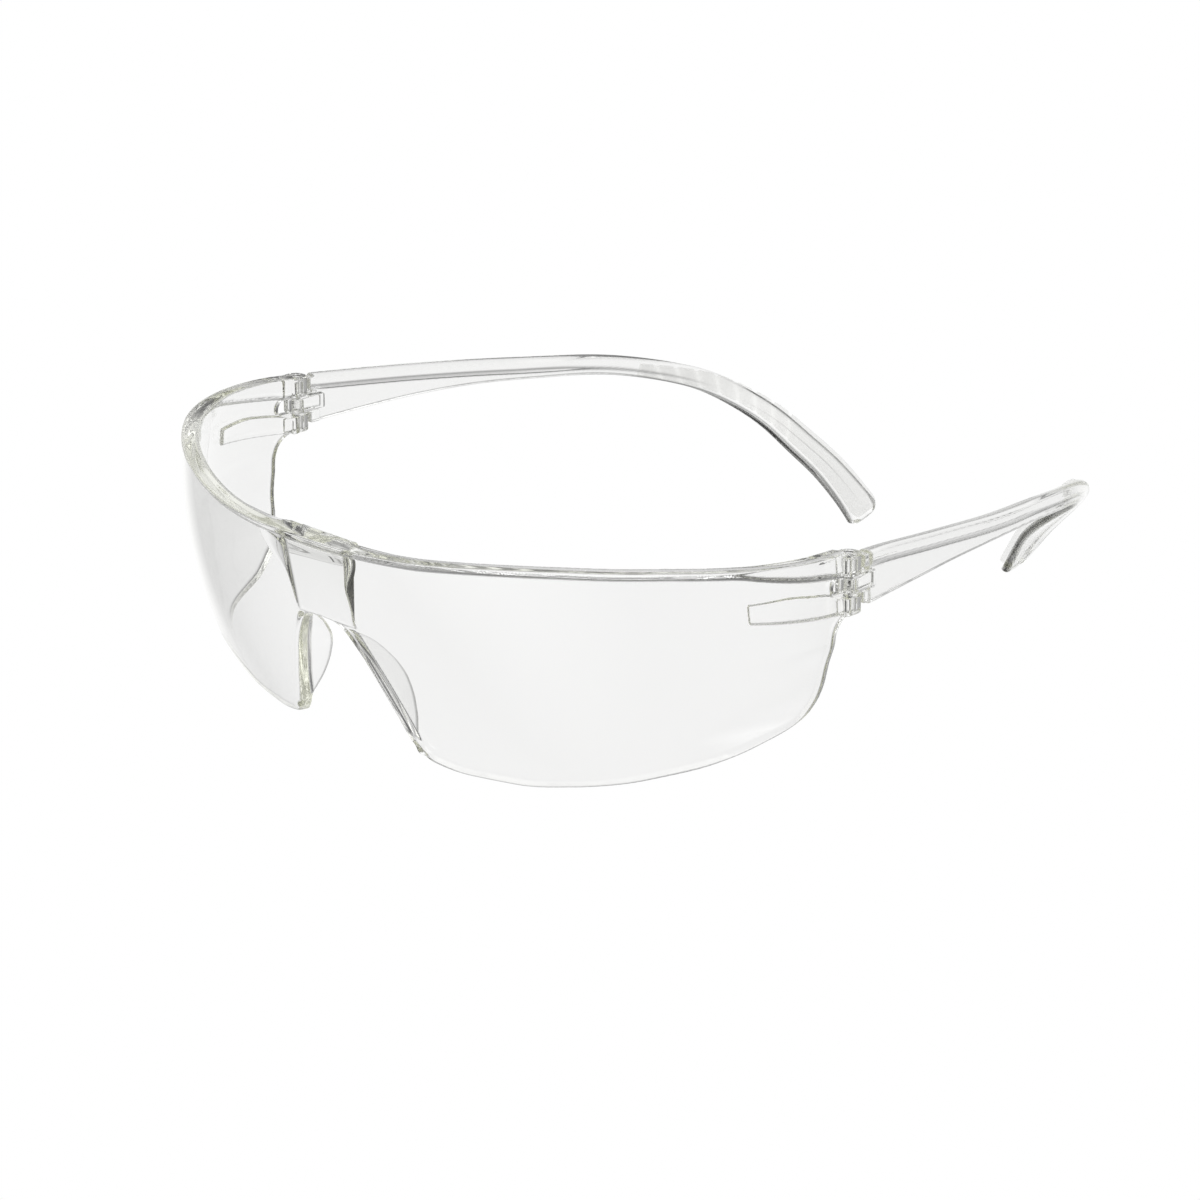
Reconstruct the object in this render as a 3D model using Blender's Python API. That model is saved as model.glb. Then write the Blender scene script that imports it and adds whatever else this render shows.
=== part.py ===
"""Clear wrap-around safety glasses.

A one-piece moulded lens shield (brow bar, bridge block, nose flanges, ribs and
hinge lugs are joined to it), two open temples on plain hinge pins, and a soft
grip on the inner face of each temple hook.

The scene is in metres, +Z up; the wearer looks along -Y and the wearer's left
is +X. All dimensions below are millimetres in the hinge frame, where the top
centre of each hinge is at (+-HINGE_X, 0, 0). Plan angles on the lens are zero
at the middle of the front and grow towards +X.
"""
import math

import bmesh
import bpy
import numpy as np
from mathutils import Vector

# ---------------------------------------------------------------- frame
MM = 0.001
HINGE_X = 70.0
# from the hinge frame to the scene: origin under the middle of the glasses,
# on the plane they stand on
SHIFT = (0.0, -21.52, 40.50)
MIDDLE = (0, 0, 0)
SIDES = ((1, "left"), (-1, "right"))

# ---------------------------------------------------------------- hinge
# heights are (bottom, top)
UPPER_LUG = (-3.70, 0.0)
LOWER_LUG = (-10.40, -7.05)
LUG_R = 2.2
LUG_FRONT = -2.6
LUG_INNER_INSET = 0.1       # front inner corner, towards the hinge axis
LUG_ARC_STEPS = 20

TONGUE_CLEARANCE = 0.27     # above and below, between the lugs
TONGUE = (LOWER_LUG[1] + TONGUE_CLEARANCE, UPPER_LUG[0] - TONGUE_CLEARANCE)
TONGUE_R = 2.25
TONGUE_ARC_STEPS = 24
TONGUE_NECK_Y = 0.6         # where the full width starts to narrow
TONGUE_BACK = 5.2
TONGUE_BACK_OUTER = 1.35    # half widths at the back end
TONGUE_BACK_INNER = 2.1

SLOT_FRONT = -4.9           # the slot the tongue turns in, open to the rear
SLOT_BACK = 6.0
SLOT_NOSE = 1.56            # front-to-back radius of its rounded front end
SLOT_NOSE_STEPS = 12
SLOT_HALF_WIDTH = 5.0

PIN_R = 0.80
HOLE_R = PIN_R + 0.09
PIN_TOP = -0.95             # the bore is blind at the top
PIN_END_GAP = 0.15          # bore above the pin, and pin above the lug's underside
BORE_OVERCUT = 1.0
PIN_SEGMENTS = 24

STOP_HALF_WIDTH = 1.15
STOP_Y = (2.75, 4.6)
STOP_HEIGHTS = (("upper", -3.1, -0.9), ("lower", -9.5, -7.4))


# ---------------------------------------------------------------- mesh helpers
def curve(points):
    """Monotone smooth curve through a few (x, value) design points."""
    xs = np.array([p[0] for p in points], float)
    ys = np.array([p[1] for p in points], float)
    gaps = np.diff(xs)
    chords = np.diff(ys) / gaps
    slopes = np.zeros_like(xs)
    slopes[0], slopes[-1] = chords[0], chords[-1]
    for i in range(1, len(xs) - 1):
        if chords[i - 1] * chords[i] > 0:
            before = 2 * gaps[i] + gaps[i - 1]
            after = gaps[i] + 2 * gaps[i - 1]
            slopes[i] = (before + after) / (before / chords[i - 1] + after / chords[i])

    def value(x):
        x = min(max(x, xs[0]), xs[-1])
        i = int(min(max(np.searchsorted(xs, x) - 1, 0), len(gaps) - 1))
        t = (x - xs[i]) / gaps[i]
        return ((1 + 2 * t) * (1 - t) ** 2 * ys[i]
                + t * (1 - t) ** 2 * gaps[i] * slopes[i]
                + t * t * (3 - 2 * t) * ys[i + 1]
                + t * t * (t - 1) * gaps[i] * slopes[i + 1])
    return value


def smooth_step(x, start, end):
    t = min(max((x - start) / (end - start), 0.0), 1.0)
    return t * t * (3 - 2 * t)


def mirrored(values):
    """Ascending values from zero, extended to the negative side."""
    return [-v for v in values[:0:-1]] + values


def to_scene(point):
    return Vector([(c + s) * MM for c, s in zip(point, SHIFT)])


def make_object(name, verts, faces, origin, mat=None, smooth=35.0):
    """A closed mesh object whose origin sits at a hinge-frame point."""
    location = to_scene(origin)
    mesh = bpy.data.meshes.new(name)
    mesh.from_pydata([tuple(to_scene(v) - location) for v in verts], [], faces)
    bm = bmesh.new()
    bm.from_mesh(mesh)
    bmesh.ops.remove_doubles(bm, verts=bm.verts, dist=1e-6)
    bmesh.ops.triangulate(bm, faces=bm.faces)
    bmesh.ops.recalc_face_normals(bm, faces=bm.faces)
    if bm.calc_volume(signed=True) < 0:
        bmesh.ops.reverse_faces(bm, faces=bm.faces)
    bm.to_mesh(mesh)
    bm.free()
    mesh.shade_smooth()
    mesh.set_sharp_from_angle(angle=math.radians(smooth))
    ob = bpy.data.objects.new(name, mesh)
    ob.location = location
    bpy.context.collection.objects.link(ob)
    if mat:
        mesh.materials.append(mat)
    return ob


def loft(name, sections, origin, mat=None, smooth=35.0):
    """Closed body through rings of equal point count, capped at both ends."""
    n = len(sections[0])
    verts = [p for ring in sections for p in ring]
    last = (len(sections) - 1) * n
    faces = [list(range(n))[::-1], [last + i for i in range(n)]]
    for k in range(len(sections) - 1):
        for i in range(n):
            j = (i + 1) % n
            faces.append([k * n + i, k * n + j, (k + 1) * n + j, (k + 1) * n + i])
    return make_object(name, verts, faces, origin, mat, smooth)


def prism(name, outline, bottom, top, origin, mat=None):
    """Straight prism over a plan outline given counter-clockwise."""
    return loft(name, [[(x, y, z) for x, y in outline] for z in (bottom, top)], origin, mat)


def arc(cx, radius, steps, start, sweep):
    """Plan points round a hinge axis, both ends included."""
    angles = [start + sweep * i / steps for i in range(steps + 1)]
    return [(cx + radius * math.cos(a), radius * math.sin(a)) for a in angles]


def circle(cx, radius):
    return arc(cx, radius, PIN_SEGMENTS, 0.0, 2 * math.pi)[:-1]


def combine(body, tool, operation, solver):
    """Add a boolean modifier to the body and hide the tool from renders."""
    mod = body.modifiers.new(operation.lower() + "_" + tool.name, 'BOOLEAN')
    mod.operation = operation
    mod.solver = solver
    mod.object = tool
    tool.hide_render = True
    tool.display_type = 'WIRE'


# ---------------------------------------------------------------- materials
def plastic(name, color, roughness, alpha, transmission):
    mat = bpy.data.materials.new(name)
    mat.use_nodes = True
    inputs = mat.node_tree.nodes["Principled BSDF"].inputs
    inputs["Base Color"].default_value = (*color, 1.0)
    inputs["Roughness"].default_value = roughness
    inputs["Metallic"].default_value = 0.0
    inputs["Alpha"].default_value = alpha
    inputs["Transmission Weight"].default_value = transmission
    inputs["IOR"].default_value = 1.58
    return mat


def make_materials():
    return {
        "lens": plastic("clear_polycarbonate", color=(0.93, 0.94, 0.92),
                        roughness=0.04, alpha=0.35, transmission=0.9),
        "temple": plastic("clear_temple_polycarbonate", color=(0.92, 0.93, 0.90),
                          roughness=0.06, alpha=0.40, transmission=0.85),
        "pin": plastic("clear_pin_plastic", color=(0.85, 0.86, 0.84),
                       roughness=0.12, alpha=0.55, transmission=0.6),
        "grip": plastic("soft_clear_grip", color=(0.90, 0.91, 0.90),
                        roughness=0.45, alpha=0.75, transmission=0.3),
    }


# ---------------------------------------------------------------- lens surface
# Plan curve of the outer face. Each triple is a quadratic in the drop
# t = -z / PLAN_DEPTH; the front reach shrinks with it, so the lens leans back.
PLAN_CENTRE_Y = -8.0
PLAN_DEPTH = 40.0
HALF_WIDTH = (71.0, -2.2, 8.3)
FRONT_REACH = (52.5, -13.2, 0.6)
SQUARENESS = (-0.044, 0.34, -0.44)
TUCK_ANGLES = (43.0, 81.0)      # degrees over which the side wall starts to curl
TANGENT_STEP = 1e-4             # radians
LENS_T = 2.2

# (z, how far the side wall stands inside the plain plan curve): a slight
# outward belly at hinge height, then a curl in under the eye
tuck = curve([(-42, 14.5), (-36, 11.1), (-33, 9.1), (-30, 6.9), (-26, 3.6),
              (-21, 0.9), (-17.5, 0.0), (-14, -0.9), (-9, -0.9), (0, 0.0)])

# Edge heights as (plan angle in degrees, z), the same on both sides.
# top and lower edge of the brow bar; the lens stops just below the top one
top_edge = curve([(0, 0.9), (12, 0.75), (20, 0.9), (28, 1.4), (36, 1.9), (46, 2.2),
                  (58, 2.2), (67, 1.9), (76, 1.5), (86, 1.1), (94, 0.7), (99, 0.3)])
bar_edge = curve([(0, -0.3), (12, -0.35), (20, -0.2), (28, 0.4), (36, 0.9), (46, 1.2),
                  (58, 1.2), (66, 0.9), (72, 0.5), (77, -0.4), (82, -1.3), (87, -2.1),
                  (93, -2.9), (97, -3.6), (99, -3.7)])
# lower edge of the lens, with the nose cut near the middle
low_edge = curve([(0, -15.2), (2.2, -15.4), (3.6, -16.1), (5.9, -20.2), (9.2, -29.0),
                  (12.2, -36.6), (15, -39.4), (21.5, -40.5), (29, -40.5), (38, -39.0),
                  (46, -37.05), (54, -35.4), (66, -34.0), (74, -32.8), (82, -30.6),
                  (86, -29.2), (89, -27.4), (91, -24.6), (92.5, -18.5), (94.2, -12.7),
                  (96.4, -11.0), (98.4, -10.4)])
rib_top = curve([(74, -4.9), (82, -4.95), (90, -5.9), (96, -6.85), (98.4, -7.05)])
rib_low = curve([(74, -7.9), (82, -8.8), (90, -9.6), (98.4, -10.35)])


def quadratic(terms, t):
    return terms[0] + terms[1] * t + terms[2] * t * t


def outer_face(angle, z):
    """Plan point of the lens's outer face at a plan angle in radians."""
    t = -z / PLAN_DEPTH
    square = quadratic(SQUARENESS, t)
    sin, cos = math.sin(angle), math.cos(angle)
    x = quadratic(HALF_WIDTH, t) * sin * (1 + square * cos * cos)
    y = -quadratic(FRONT_REACH, t) * cos * (1 + square * sin * sin)
    share = smooth_step(math.degrees(abs(angle)), *TUCK_ANGLES)
    keep = 1 - tuck(z) * share / math.hypot(x, y)
    return x * keep, PLAN_CENTRE_Y + y * keep


def behind_face(angle, z, depth):
    """Point the given depth behind the outer face, at the same height."""
    x0, y0 = outer_face(angle - TANGENT_STEP, z)
    x1, y1 = outer_face(angle + TANGENT_STEP, z)
    dx, dy = x1 - x0, y1 - y0
    length = math.hypot(dx, dy)
    x, y = outer_face(angle, z)
    return (x - dy / length * depth, y + dx / length * depth, z)


def wall_ring(angle, low, top, outer, inner):
    """Four-point section across the lens wall, between two depths."""
    return [behind_face(angle, low, outer), behind_face(angle, low, inner),
            behind_face(angle, top, inner), behind_face(angle, top, outer)]


# ---------------------------------------------------------------- lens shield
LENS_TOP_INSET = 0.35           # lens top below the bar top
LENS_ROWS = 11
LENS_ANGLES = mirrored([
    0, 1.2, 2.4, 3.4, 4.0, 4.6, 5.3, 6.2, 7.2, 8.2, 9.2, 10.2, 11.2, 12.2, 13.4, 15,
    17.5, 21.5, 25.2, 29, 33, 37.5, 43, 49, 55, 61, 67, 72, 77, 81, 84.5, 87.3, 89.3,
    90.6, 91.5, 92.2, 92.9, 94.2, 96.2, 98.4])

BAR_ANGLES = mirrored([0, 5, 10, 15, 20, 25, 30, 36, 42, 48, 54, 60, 66, 71, 75, 79,
                       83, 87, 91, 95, 98.2])
BAR_OUT = 0.35                  # stands proud of the lens face
BAR_IN = 2.85                   # depth behind the lens face
BAR_BRIDGE_EXTRA = 0.9          # more depth over the bridge
BAR_BRIDGE_ANGLE = 17.0         # where that extra runs out

BLOCK_HALF = 6.4
BLOCK_BACK_INSET = 0.3          # narrower at the back, each side
BLOCK_BACK = -53.0
BLOCK_FRONT_DEPTH = 1.2         # front face, behind the outer face of the lens
BLOCK_Z = (-15.5, -0.9)

FLANGE_T = 1.7
FLANGE_INSET = 0.12
FLANGE_FRONT_DEPTH = 0.7
FLANGE_FRONT_SKEW = 0.35        # the outer side is set back in y at each end
FLANGE_BACK_SKEW = 0.25
# (x, y, z) along the back edge of the left flange, from the top down
FLANGE_BACK = [
    (6.9, -49.4, -18.6), (7.4, -48.0, -20.4), (8.3, -46.1, -23.0), (9.4, -45.1, -25.6),
    (10.5, -44.8, -28.4), (11.6, -45.1, -31.2), (12.8, -46.0, -34.0), (14.2, -47.2, -36.6)]
NOSE_CUT_ANGLES = (3.6, 13.6)   # degrees that bracket the side of the nose cut

RIB_ANGLES = (74.3, 98.3)
RIB_STEPS = 8
RIB_OUTER_DEPTH = 0.5
RIB_STAND = 0.55                # beyond the lens wall at the front end
RIB_GROWTH = 0.75               # added by the hinge end


def lens_wall(mat):
    """Outer and inner grids of the bare lens, closed round the edges."""
    verts, faces = [], []
    for depth in (0.0, LENS_T):
        for deg in LENS_ANGLES:
            top, low = top_edge(abs(deg)) - LENS_TOP_INSET, low_edge(abs(deg))
            for i in range(LENS_ROWS + 1):
                z = top + (low - top) * (i / LENS_ROWS)
                verts.append(behind_face(math.radians(deg), z, depth))
    stride = LENS_ROWS + 1
    inner = len(LENS_ANGLES) * stride
    last = len(LENS_ANGLES) - 1
    for column in range(last):
        a, b = column * stride, (column + 1) * stride
        for i in range(LENS_ROWS):
            faces.append([a + i, a + i + 1, b + i + 1, b + i])
            faces.append([inner + a + i, inner + b + i, inner + b + i + 1, inner + a + i + 1])
        faces.append([a, b, inner + b, inner + a])
        a, b = a + LENS_ROWS, b + LENS_ROWS
        faces.append([a, inner + a, inner + b, b])
    for column in (0, last):
        for i in range(LENS_ROWS):
            a = column * stride + i
            faces.append([a, inner + a, inner + a + 1, a + 1])
    return make_object("lens_shield", verts, faces, MIDDLE, mat, 30.0)


def brow_bar():
    """Bar along the top, growing into the upper arm at each hinge."""
    rings = []
    for deg in BAR_ANGLES:
        a = abs(deg)
        extra = BAR_BRIDGE_EXTRA * max(0.0, 1 - (a / BAR_BRIDGE_ANGLE) ** 2)
        rings.append(wall_ring(math.radians(deg), bar_edge(a), top_edge(a),
                               -BAR_OUT, BAR_IN + extra))
    return loft("bar_body", rings, MIDDLE)


def bridge_block():
    """Block behind the middle of the lens, thicker at the top."""
    back_half = BLOCK_HALF - BLOCK_BACK_INSET
    rings = []
    for z in BLOCK_Z:
        front = outer_face(0, z)[1] + BLOCK_FRONT_DEPTH
        rings.append([(-BLOCK_HALF, front, z), (BLOCK_HALF, front, z),
                      (back_half, BLOCK_BACK, z), (-back_half, BLOCK_BACK, z)])
    return loft("bridge_block", rings, MIDDLE)


def nose_cut_angle(z):
    """Plan angle in degrees of the nose cut at height z, by bisection."""
    near, far = NOSE_CUT_ANGLES
    for _ in range(40):
        mid = 0.5 * (near + far)
        if low_edge(mid) > z:
            near = mid
        else:
            far = mid
    return 0.5 * (near + far)


def nose_flange(side, label):
    """Thin leaf swept back from the side of the nose cut."""
    rings = []
    for back_x, back_y, z in FLANGE_BACK:
        angle = math.radians(nose_cut_angle(z))
        front_x, front_y, _ = behind_face(angle, z, FLANGE_FRONT_DEPTH)
        front_x += FLANGE_INSET
        back_x += FLANGE_INSET
        ring = [(front_x, front_y), (back_x, back_y),
                (back_x + FLANGE_T, back_y + FLANGE_BACK_SKEW),
                (front_x + FLANGE_T, front_y + FLANGE_FRONT_SKEW)]
        rings.append([(side * x, y, z) for x, y in ring])
    return loft("nose_flange_" + label, rings, MIDDLE)


def rib(side, label):
    """Rib inside the side wall, thickening towards the lower lug."""
    start, end = RIB_ANGLES
    rings = []
    for k in range(RIB_STEPS + 1):
        deg = start + (end - start) * k / RIB_STEPS
        depth = LENS_T + RIB_STAND + RIB_GROWTH * k / RIB_STEPS
        rings.append(wall_ring(math.radians(deg) * side, rib_low(deg), rib_top(deg),
                               RIB_OUTER_DEPTH, depth))
    return loft("rib_" + label, rings, MIDDLE)


def lug(name, side, heights):
    """Hinge lug, rounded at the rear."""
    cx = HINGE_X * side
    inset_low = LUG_INNER_INSET if side > 0 else 0.0
    inset_high = LUG_INNER_INSET - inset_low
    outline = arc(cx, LUG_R, LUG_ARC_STEPS, 0.0, math.pi)
    outline += [(cx - LUG_R + inset_low, LUG_FRONT), (cx + LUG_R - inset_high, LUG_FRONT)]
    return prism(name, outline, *heights, MIDDLE)


def tongue_slot(side, label):
    """Cutter between the lugs with a rounded front end."""
    cx = HINGE_X * side
    middle = 0.5 * (UPPER_LUG[0] + LOWER_LUG[1])
    half_height = 0.5 * (UPPER_LUG[0] - LOWER_LUG[1])
    profile = []
    for i in range(SLOT_NOSE_STEPS + 1):
        a = math.pi / 2 + math.pi * i / SLOT_NOSE_STEPS
        profile.append((SLOT_FRONT + SLOT_NOSE + SLOT_NOSE * math.cos(a),
                        middle + half_height * math.sin(a)))
    profile += [(SLOT_BACK, LOWER_LUG[1]), (SLOT_BACK, UPPER_LUG[0])]
    ends = (cx - SLOT_HALF_WIDTH, cx + SLOT_HALF_WIDTH)
    return loft("slot_" + label, [[(x, y, z) for y, z in profile] for x in ends], MIDDLE)


def lug_bore(side, label):
    return prism("bore_" + label, circle(HINGE_X * side, HOLE_R),
                 LOWER_LUG[0] - BORE_OVERCUT, PIN_TOP + PIN_END_GAP, MIDDLE)


def lens_shield(mat):
    lens = lens_wall(mat)

    # the shield carries many crossing thin walls, where the exact solver
    # drops shells
    def join(tool):
        combine(lens, tool, 'UNION', 'MANIFOLD')

    def cut(tool):
        combine(lens, tool, 'DIFFERENCE', 'MANIFOLD')

    join(brow_bar())
    join(bridge_block())
    for side, label in SIDES:
        join(nose_flange(side, label))
    for side, label in SIDES:
        join(rib(side, label))
        join(lug("lug_upper_" + label, side, UPPER_LUG))
        join(lug("lug_lower_" + label, side, LOWER_LUG))
        cut(tongue_slot(side, label))
        cut(lug_bore(side, label))


# ---------------------------------------------------------------- temple blade
# (upper edge, lower edge) of the left blade, each (x, y, z), from the hinge
# shoulder to the tip of the hook
STATIONS = [((70.9, 3.9, -0.45), (71.3, 3.9, -9.8)),
            ((69.9, 9.5, -0.95), (70.7, 9.5, -9.5)),
            ((68.8, 18.9, -2.0), (69.5, 18.9, -9.15)),
            ((67.4, 28.5, -3.1), (68.0, 28.5, -8.95)),
            ((65.3, 40.9, -4.6), (65.8, 40.7, -9.2)),
            ((62.0, 53.4, -6.1), (62.5, 53.5, -10.1)),
            ((58.5, 64.3, -7.5), (59.1, 64.5, -11.2)),
            ((54.0, 74.6, -9.5), (54.4, 74.7, -13.1)),
            ((48.8, 84.8, -12.3), (48.1, 83.7, -16.1)),
            ((44.2, 91.5, -16.4), (42.6, 88.6, -19.5)),
            ((38.5, 96.4, -21.0), (36.9, 91.3, -23.0)),
            ((32.8, 99.2, -25.8), (31.2, 92.6, -27.0)),
            ((27.6, 101.5, -30.1), (26.7, 94.4, -30.7)),
            ((22.9, 103.2, -34.6), (23.1, 96.2, -35.2)),
            ((19.2, 104.1, -38.4), (20.9, 97.4, -38.4))]
UPPER_EDGE = [station[0] for station in STATIONS]
LOWER_EDGE = [station[1] for station in STATIONS]
LAST = len(STATIONS) - 1

# station numbers where the temple and its grip have sections
TEMPLE_SECTIONS = [0, 0.5, 1, 1.6, 2.3, 3, 3.7, 4.4, 5, 5.5, 6, 6.5, 7, 7.5, 8, 8.5, 9,
                   9.5, 10, 10.5, 11, 11.6, 12.3, 13, 13.6, LAST]
GRIP_SECTIONS = [6.9, 7.4, 7.9, 8.4, 8.9, 9.4, 9.9, 10.4, 10.9, 11.4, 12, 12.6, 13.2, 13.7]
MELT = (5.0, 6.6)           # stations over which rail and web become the hook
STATION_STEP = 0.02         # for the tangent

# distances of the outer and inner faces from the reference face
RAIL_OUT, RAIL_T = 0.75, 3.0
WEB_OUT, WEB_T = 0.15, 1.8
HOOK_OUT, HOOK_T = 1.0, 1.7
RAIL_IN = RAIL_T - RAIL_OUT
WEB_IN = WEB_T - WEB_OUT
HOOK_IN = HOOK_T - HOOK_OUT
RAIL_H = 2.6
RAIL_SHARE = 0.62           # most of the blade width the rail may take
RAIL_SLOPE = 0.45           # run from rail to web
# edge chamfers, (along the blade width, through its thickness)
TOP_CHAMFER = (0.35, 0.5)
LOW_CHAMFER = (0.3, 0.35)
# (width scale, distance past the last station) of the rings that round the tip
TIP_RINGS = ((0.88, 0.9), (0.58, 1.7))

GRIP_GAP = 0.30
GRIP_T = 1.0
GRIP_START_SHARE = 0.55     # thickness of the first section
GRIP_MARGIN = 0.5           # from each edge of the blade
GRIP_BEVEL = 0.25


def spline(points, u):
    """Catmull-Rom through the stations, u from 0 to LAST."""
    n = len(points)
    i = int(min(max(math.floor(u), 0), n - 2))
    t = u - i
    p1, p2 = Vector(points[i]), Vector(points[i + 1])
    p0 = Vector(points[i - 1]) if i > 0 else 2 * p1 - p2
    p3 = Vector(points[i + 2]) if i + 2 < n else 2 * p2 - p1
    return 0.5 * ((2 * p1) + (p2 - p0) * t + (2 * p0 - 5 * p1 + 4 * p2 - p3) * t * t
                  + (3 * p1 - p0 - 3 * p2 + p3) * t ** 3)


def blade_middle(u):
    return 0.5 * (spline(UPPER_EDGE, u) + spline(LOWER_EDGE, u))


def blade_frame(u):
    """Upper edge, unit vector up the blade, outward normal, and blade width."""
    upper = spline(UPPER_EDGE, u)
    up = upper - spline(LOWER_EDGE, u)
    width = up.length
    up = up / width
    ahead = blade_middle(min(u + STATION_STEP, LAST))
    tangent = (ahead - blade_middle(max(u - STATION_STEP, 0))).normalized()
    return upper, up, tangent.cross(up).normalized(), width


def blade_ring(frame, points):
    """Place (distance below the upper edge, outward offset) pairs on the blade."""
    upper, up, out, _ = frame
    return [upper - up * along + out * offset for along, offset in points]


def on_side(ring, side):
    return [(side * p.x, p.y, p.z) for p in ring]


def temple_ring(u):
    """Twelve-point section: a thick rail along the top of a thinner web."""
    frame = blade_frame(u)
    width = frame[3]
    melt = smooth_step(u, *MELT)
    rail_out = RAIL_OUT + (HOOK_OUT - RAIL_OUT) * melt
    rail_in = RAIL_IN + (HOOK_IN - RAIL_IN) * melt
    web_out = WEB_OUT + (HOOK_OUT - WEB_OUT) * melt
    web_in = WEB_IN + (HOOK_IN - WEB_IN) * melt
    rail = min(RAIL_H, RAIL_SHARE * width)
    web = rail + RAIL_SLOPE
    top_run, top_cut = TOP_CHAMFER
    low_run, low_cut = LOW_CHAMFER
    return blade_ring(frame, [
        (0.0, rail_out - top_cut), (top_run, rail_out), (rail, rail_out),
        (web, web_out), (width - low_run, web_out), (width, web_out - low_cut),
        (width, -web_in + low_cut), (width - low_run, -web_in), (web, -web_in),
        (rail, -rail_in), (top_run, -rail_in), (0.0, -rail_in + top_cut)])


def tip_rings():
    """Shrinking rings that round the end of the hook."""
    _, up, out, _ = blade_frame(LAST)
    onward = up.cross(out).normalized()
    middle = blade_middle(LAST)
    rings = []
    for scale, push in TIP_RINGS:
        ring = []
        for point in temple_ring(LAST):
            offset = point - middle
            along = offset.dot(up)
            rest = offset - up * along
            ring.append(middle + up * along * scale + rest + onward * push)
        rings.append(ring)
    return rings


def tongue(side, label, origin):
    """Tongue round the pin, narrowing back to the blade."""
    cx = origin[0]
    low, high = TONGUE_BACK_INNER, TONGUE_BACK_OUTER
    if side < 0:
        low, high = high, low
    outline = arc(cx, TONGUE_R, TONGUE_ARC_STEPS, math.pi, math.pi)
    outline += [(cx + TONGUE_R, TONGUE_NECK_Y), (cx + high, TONGUE_BACK),
                (cx - low, TONGUE_BACK), (cx - TONGUE_R, TONGUE_NECK_Y)]
    return prism("tongue_" + label, outline, *TONGUE, origin)


def stop_pad(name, bottom, top, origin):
    """Pad on the temple, facing the rear of a lug."""
    x0, x1 = origin[0] - STOP_HALF_WIDTH, origin[0] + STOP_HALF_WIDTH
    y0, y1 = STOP_Y
    return prism(name, [(x0, y0), (x1, y0), (x1, y1), (x0, y1)], bottom, top, origin)


def temple(side, label, origin, mat):
    rings = [temple_ring(u) for u in TEMPLE_SECTIONS] + tip_rings()
    body = loft("temple_" + label, [on_side(ring, side) for ring in rings],
                origin, mat, 40.0)
    combine(body, tongue(side, label, origin), 'UNION', 'EXACT')
    for tag, bottom, top in STOP_HEIGHTS:
        pad = stop_pad("stop_%s_%s" % (tag, label), bottom, top, origin)
        combine(body, pad, 'UNION', 'EXACT')
    bore = prism("tongue_bore_" + label, circle(origin[0], HOLE_R),
                 TONGUE[0] - BORE_OVERCUT, TONGUE[1] + BORE_OVERCUT, origin)
    combine(body, bore, 'DIFFERENCE', 'EXACT')


def temple_grip(side, label, origin, mat):
    """Soft strip just off the inner face of the hook, thinner where it starts."""
    near = -HOOK_IN - GRIP_GAP
    rings = []
    for k, u in enumerate(GRIP_SECTIONS):
        frame = blade_frame(u)
        far = near - GRIP_T * (GRIP_START_SHARE if k == 0 else 1.0)
        low = frame[3] - GRIP_MARGIN
        ring = blade_ring(frame, [(GRIP_MARGIN, near), (low, near),
                                  (low - GRIP_BEVEL, far), (GRIP_MARGIN + GRIP_BEVEL, far)])
        rings.append(on_side(ring, side))
    loft("temple_grip_" + label, rings, origin, mat, 40.0)


def hinge_pin(label, origin, mat):
    prism("hinge_pin_" + label, circle(origin[0], PIN_R),
          LOWER_LUG[0] + PIN_END_GAP, PIN_TOP, origin, mat)


# ---------------------------------------------------------------- build
def build():
    for ob in list(bpy.data.objects):
        bpy.data.objects.remove(ob, do_unlink=True)
    materials = make_materials()
    lens_shield(materials["lens"])
    for side, label in SIDES:
        origin = (HINGE_X * side, 0, 0)
        temple(side, label, origin, materials["temple"])
        temple_grip(side, label, origin, materials["grip"])
        hinge_pin(label, origin, materials["pin"])


build()
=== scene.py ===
"""Clear wrap-around safety glasses: a lens shield with two hinged temples, grips and pins.

The wearer looks along -Y and +X is the wearer's left. Each moulded part is meshed from a smooth
distance field (negative inside), in millimetres, with the hinge tops at (+-HINGE_X, 0, 0).
SHIFT and MM carry the fields to the frame.
"""
import math

import bpy
import numpy as np
from mathutils import Matrix, Vector


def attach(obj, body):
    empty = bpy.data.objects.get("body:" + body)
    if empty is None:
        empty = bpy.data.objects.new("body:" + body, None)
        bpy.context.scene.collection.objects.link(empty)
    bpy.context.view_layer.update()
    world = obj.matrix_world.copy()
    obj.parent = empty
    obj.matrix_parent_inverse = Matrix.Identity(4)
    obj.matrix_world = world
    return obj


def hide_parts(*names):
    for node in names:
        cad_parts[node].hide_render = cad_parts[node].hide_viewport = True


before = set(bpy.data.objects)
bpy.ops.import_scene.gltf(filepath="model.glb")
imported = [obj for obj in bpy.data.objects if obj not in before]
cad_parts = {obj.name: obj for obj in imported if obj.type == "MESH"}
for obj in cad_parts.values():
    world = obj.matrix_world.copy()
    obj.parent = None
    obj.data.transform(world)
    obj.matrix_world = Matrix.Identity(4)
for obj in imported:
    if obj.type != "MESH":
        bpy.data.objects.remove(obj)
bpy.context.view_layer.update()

scene = bpy.context.scene

MM = 0.001
SHIFT = np.array((0.0, -21.52, 40.50))
HINGE_X = 70.0
BORE_RADIUS = 0.89
BORE_ROUND = 0.08
LENS_T = 2.2

# mesh cell sizes
LENS_CELL, TEMPLE_CELL, GRIP_CELL = ((0.30, 0.28, 0.22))
# meshed volumes: low corner, high corner
LENS_BOX = ((-73.6, -62.6, -42.2), (73.6, 3.4, 3.2))
TEMPLE_BOX = ((17.0, -3.2, -42.4), (73.4, 105.6, 0.8))
GRIP_BOX = ((17.0, 70.0, -40.0), (60.0, 105.6, -8.0))


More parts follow.
